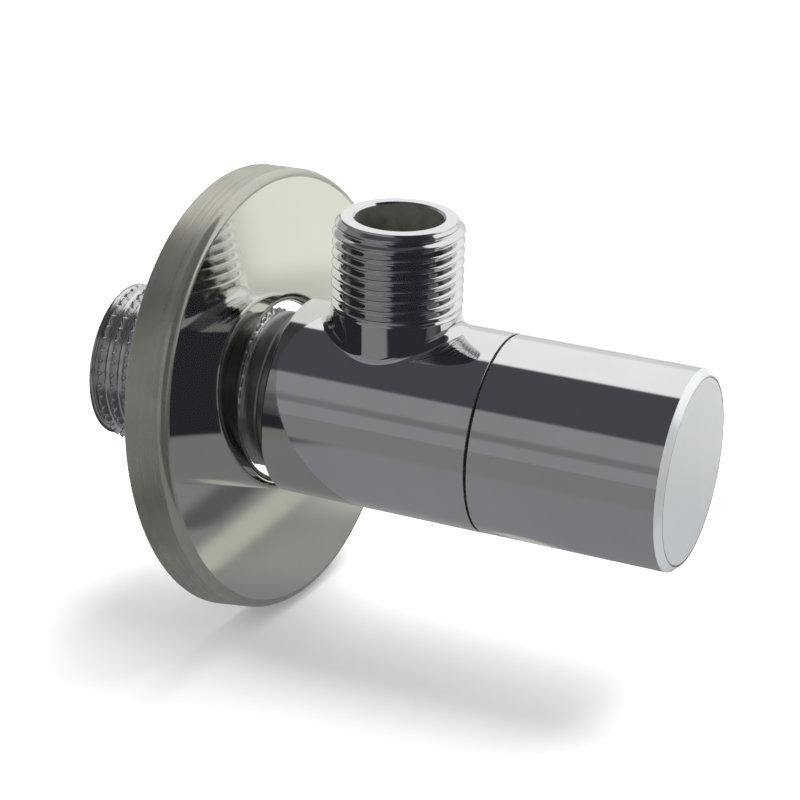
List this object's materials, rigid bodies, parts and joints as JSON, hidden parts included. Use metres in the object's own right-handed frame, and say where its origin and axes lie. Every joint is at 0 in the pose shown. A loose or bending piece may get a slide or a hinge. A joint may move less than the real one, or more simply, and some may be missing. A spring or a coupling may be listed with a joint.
{
  "type": "angle valve",
  "caption": "Chromed angle valve: threaded inlet tube for the wall, upright threaded outlet, loose pressed rosette and a quarter-turn knob flush with the round body.",
  "frame": {"origin": "on the inlet's axis, in the plane of the wall that the inlet goes into, 20 mm behind the outlet's axis", "axes": "+Y along the inlet into the wall, -Y towards the knob, +Z along the outlet, +X to the right seen from the knob"},
  "size_m": [0.0577, 0.0792, 0.0577],
  "materials": {
    "chrome": "polished chrome plating on brass",
    "stainless": "polished face with a brushed rim",
    "brass": "turned",
    "steel": "bright",
    "rubber": "matt",
    "plastic": "dark, matt",
    "white_plastic": "pale, matt",
    "ceramic": "lapped ceramic"
  },
  "bodies": {
    "valve": {"valve_body": "chrome", "inlet_tube": "chrome", "outlet_tube": "chrome", "headwork_housing": "brass", "bonnet_oring": "rubber", "guide_ring": "plastic", "slip_washer": "white_plastic", "fixed_disc": "ceramic", "seat_seal": "rubber", "seat_seal_ring": "steel"},
    "handle": {"handle_knob": "chrome", "handle_cap": "chrome", "cap_oring": "rubber", "handle_insert": "white_plastic", "handle_screw": "steel", "screw_washer": "steel", "spindle": "brass", "spindle_oring_inner": "rubber", "spindle_oring_outer": "rubber", "spindle_circlip": "steel", "moving_disc": "ceramic"},
    "rosette": {"wall_rosette": "stainless"}
  },
  "joints": [
    {"name": "handle_turn", "type": "hinge", "parent": "valve", "child": "handle", "pos_m": [0, -0.035, 0], "axis": [0, -1, 0], "range_deg": [0, 90]},
    {"name": "rosette_slide", "type": "slide", "parent": "valve", "child": "rosette", "axis": [0, 1, 0], "range_m": [0, 0.012]}
  ]
}
